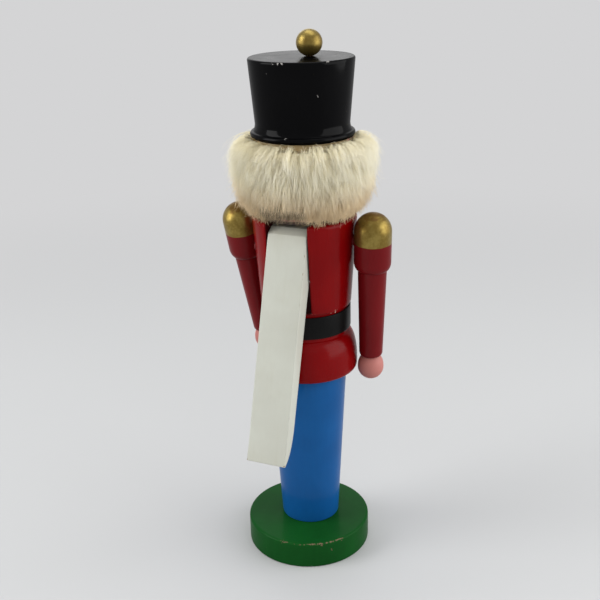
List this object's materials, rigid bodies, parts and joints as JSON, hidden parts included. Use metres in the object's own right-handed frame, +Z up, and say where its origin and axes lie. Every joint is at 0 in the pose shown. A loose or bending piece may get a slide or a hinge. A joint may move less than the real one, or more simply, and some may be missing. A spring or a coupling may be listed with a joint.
{
  "type": "wooden nutcracker",
  "caption": "Standing turned-wood soldier nutcracker on a round base, with fur hair, a tall hat, arms that turn at the shoulders and a back lever that works its jaw.",
  "frame": {"origin": "on the figure's turning axis, on the surface that the base stands on", "axes": "+Z up, the figure faces -Y with the lever's tail on +Y, and its own left arm is on +X"},
  "size_m": [0.0982, 0.0949, 0.2993],
  "materials": {
    "green_paint": "dark green satin paint on turned wood, worn along the rim",
    "blue_paint": "mid blue satin paint on turned wood",
    "red_lacquer": "bright red gloss lacquer on turned wood",
    "sleeve_paint": "deep red satin paint with a gold bronze dome at the shoulder",
    "black_lacquer": "black gloss lacquer on turned wood, chipped at the edges",
    "black_belt": "black satin strip",
    "skin_paint": "matte pink paint on turned wood, with a painted face",
    "gold_paint": "rubbed gold bronze paint on a turned wooden ball",
    "white_paint": "off-white satin paint, soiled and worn along the edges",
    "fur": "cream rabbit fur",
    "hide": "tanned hide, flesh side glued down",
    "bare_wood": "unpainted beech dowel"
  },
  "bodies": {
    "figure": {"base_disc": "green_paint", "base_dowel": "bare_wood", "legs_column": "blue_paint", "waist_dowel": "bare_wood", "torso": "red_lacquer", "pivot_pin": "bare_wood", "belt": "black_belt", "head": "skin_paint", "nose": "skin_paint", "neck_dowel_left": "bare_wood", "neck_dowel_right": "bare_wood", "hair_hide": "hide", "hair_fur": "fur", "hat": "black_lacquer", "hat_dowel": "bare_wood", "hat_ball": "gold_paint", "hat_ball_peg": "bare_wood"},
    "lever": {"lever": "white_paint", "beard_hide": "hide", "beard_fur": "fur"},
    "left_arm": {"arm_left": "sleeve_paint", "hand_left": "skin_paint", "shoulder_dowel_left": "bare_wood"},
    "right_arm": {"arm_right": "sleeve_paint", "hand_right": "skin_paint", "shoulder_dowel_right": "bare_wood"}
  },
  "joints": [
    {"name": "lever_pivot", "type": "hinge", "parent": "figure", "child": "lever", "pos_m": [0, 0.014, 0.186], "axis": [1, 0, 0], "range_deg": [0, 35]},
    {"name": "left_shoulder", "type": "hinge", "parent": "figure", "child": "left_arm", "pos_m": [0.03875, -0.0015, 0.1897], "axis": [-1, 0, 0], "range_deg": [-75, 80]},
    {"name": "right_shoulder", "type": "hinge", "parent": "figure", "child": "right_arm", "pos_m": [-0.03875, -0.0015, 0.1897], "axis": [-1, 0, 0], "range_deg": [-65, 90]}
  ]
}
